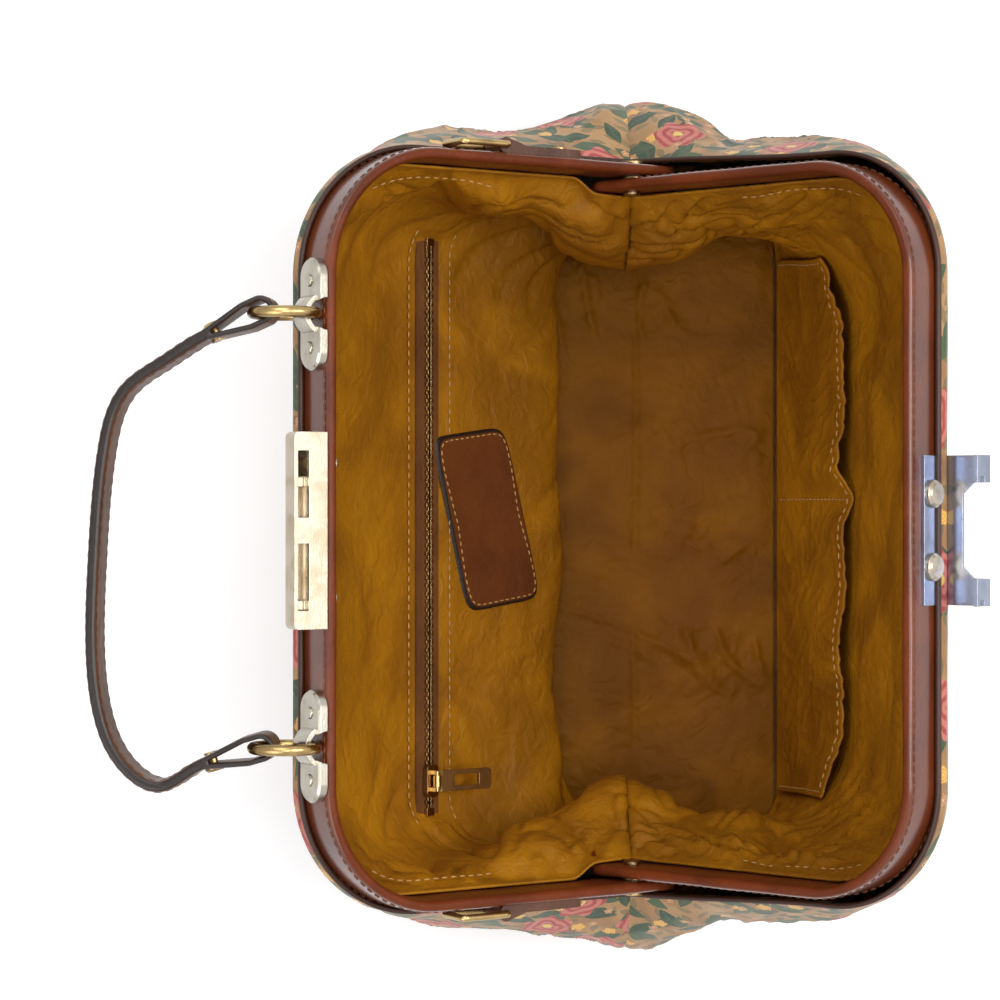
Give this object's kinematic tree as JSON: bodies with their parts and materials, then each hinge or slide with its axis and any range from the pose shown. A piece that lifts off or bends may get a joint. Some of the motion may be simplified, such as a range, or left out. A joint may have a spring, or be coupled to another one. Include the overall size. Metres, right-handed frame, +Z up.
{
  "type": "satchel",
  "caption": "Wide-mouth frame satchel, open: printed leather body, draped lining, nesting hinged frame halves, lock, catch and carrying handle.",
  "frame": {"origin": "centre of the overall outline on the floor the bag stands on", "axes": "+Z up, X along the bag's length, +Y to the rear, the side with the lock and handle"},
  "size_m": [0.3452, 0.3204, 0.2264],
  "materials": {
    "outer_leather": "smooth printed leather, satin",
    "trim_leather": "red-brown leather, dark painted edges",
    "handle_leather": "dark brown leather, satin",
    "patch_leather": "brown leather, matt",
    "lining": "golden brown woven lining, slight gloss",
    "tape": "woven tape",
    "board": "grey board",
    "strip_steel": "rolled strip",
    "catch_steel": "bright plated",
    "lock_brass": "pale brass plate, polished",
    "mount_metal": "champagne plate, polished",
    "ring_brass": "antique brass",
    "pin_steel": "polished"
  },
  "bodies": {
    "bag_body": {"leather_front": "outer_leather", "leather_rear": "outer_leather", "leather_base": "outer_leather", "base_board": "board", "base_feet": "ring_brass", "lining_front": "lining", "lining_rear": "lining", "lining_floor": "lining", "zip_tape": "tape", "zip_teeth": "ring_brass", "zip_pocket": "lining", "slip_pocket": "lining", "leather_patch": "patch_leather", "pivot_pin_left": "pin_steel", "pivot_pin_right": "pin_steel", "pivot_washer_left": "pin_steel", "pivot_washer_right": "pin_steel"},
    "zip_slider_body": {"zip_slider": "ring_brass"},
    "zip_pull_body": {"zip_pull": "ring_brass"},
    "rear_frame": {"frame_core_rear": "strip_steel", "frame_cover_rear": "trim_leather", "lock_housing": "lock_brass", "lock_plate": "strip_steel", "lock_rivets": "lock_brass", "handle_mount_left": "mount_metal", "handle_mount_right": "mount_metal", "mount_rivets": "mount_metal", "side_tab_left": "handle_leather", "side_tab_right": "handle_leather", "side_tab_rivets": "ring_brass"},
    "lock_latch_body": {"lock_latch": "lock_brass"},
    "front_frame": {"frame_core_front": "strip_steel", "frame_cover_front": "trim_leather", "catch_plate": "catch_steel", "catch_rivets": "lock_brass"},
    "handle": {"handle_strap": "handle_leather", "handle_ring_left": "ring_brass", "handle_ring_right": "ring_brass", "handle_rivets": "ring_brass"},
    "side_ring_left_body": {"side_ring_left": "ring_brass"},
    "side_ring_right_body": {"side_ring_right": "ring_brass"}
  },
  "joints": [
    {"name": "rear_half", "type": "hinge", "parent": "bag_body", "child": "rear_frame", "pos_m": [-0.00025, -0.03768, 0.125], "axis": [1, 0, 0], "range_deg": [0, 56]},
    {"name": "front_half", "type": "hinge", "parent": "bag_body", "child": "front_frame", "pos_m": [-0.00025, -0.03768, 0.125], "axis": [-1, 0, 0], "range_deg": [0, 49]},
    {"name": "handle_swing", "type": "hinge", "parent": "rear_frame", "child": "handle", "pos_m": [-0.00025, 0.08939, 0.21302], "axis": [1, 0, 0], "range_deg": [-20, 95]},
    {"name": "lock_release", "type": "slide", "parent": "rear_frame", "child": "lock_latch_body", "axis": [-1, 0, 0], "range_m": [0, 0.005], "stiffness_N_per_m": 300},
    {"name": "zip_run", "type": "slide", "parent": "bag_body", "child": "zip_slider_body", "axis": [1, 0, 0], "range_m": [0, 0.202]},
    {"name": "zip_pull_swing", "type": "hinge", "parent": "zip_slider_body", "child": "zip_pull_body", "pos_m": [-0.10125, 0.0381, 0.08886], "axis": [-1, 0, 0], "range_deg": [0, 118]},
    {"name": "side_ring_left_swing", "type": "hinge", "parent": "rear_frame", "child": "side_ring_left_body", "pos_m": [-0.14275, 0.01341, 0.16195], "axis": [0, -0.5534, 0.8329], "range_deg": [0, 130]},
    {"name": "side_ring_right_swing", "type": "hinge", "parent": "rear_frame", "child": "side_ring_right_body", "pos_m": [0.14225, 0.01341, 0.16195], "axis": [0, 0.5534, -0.8329], "range_deg": [0, 130]}
  ]
}
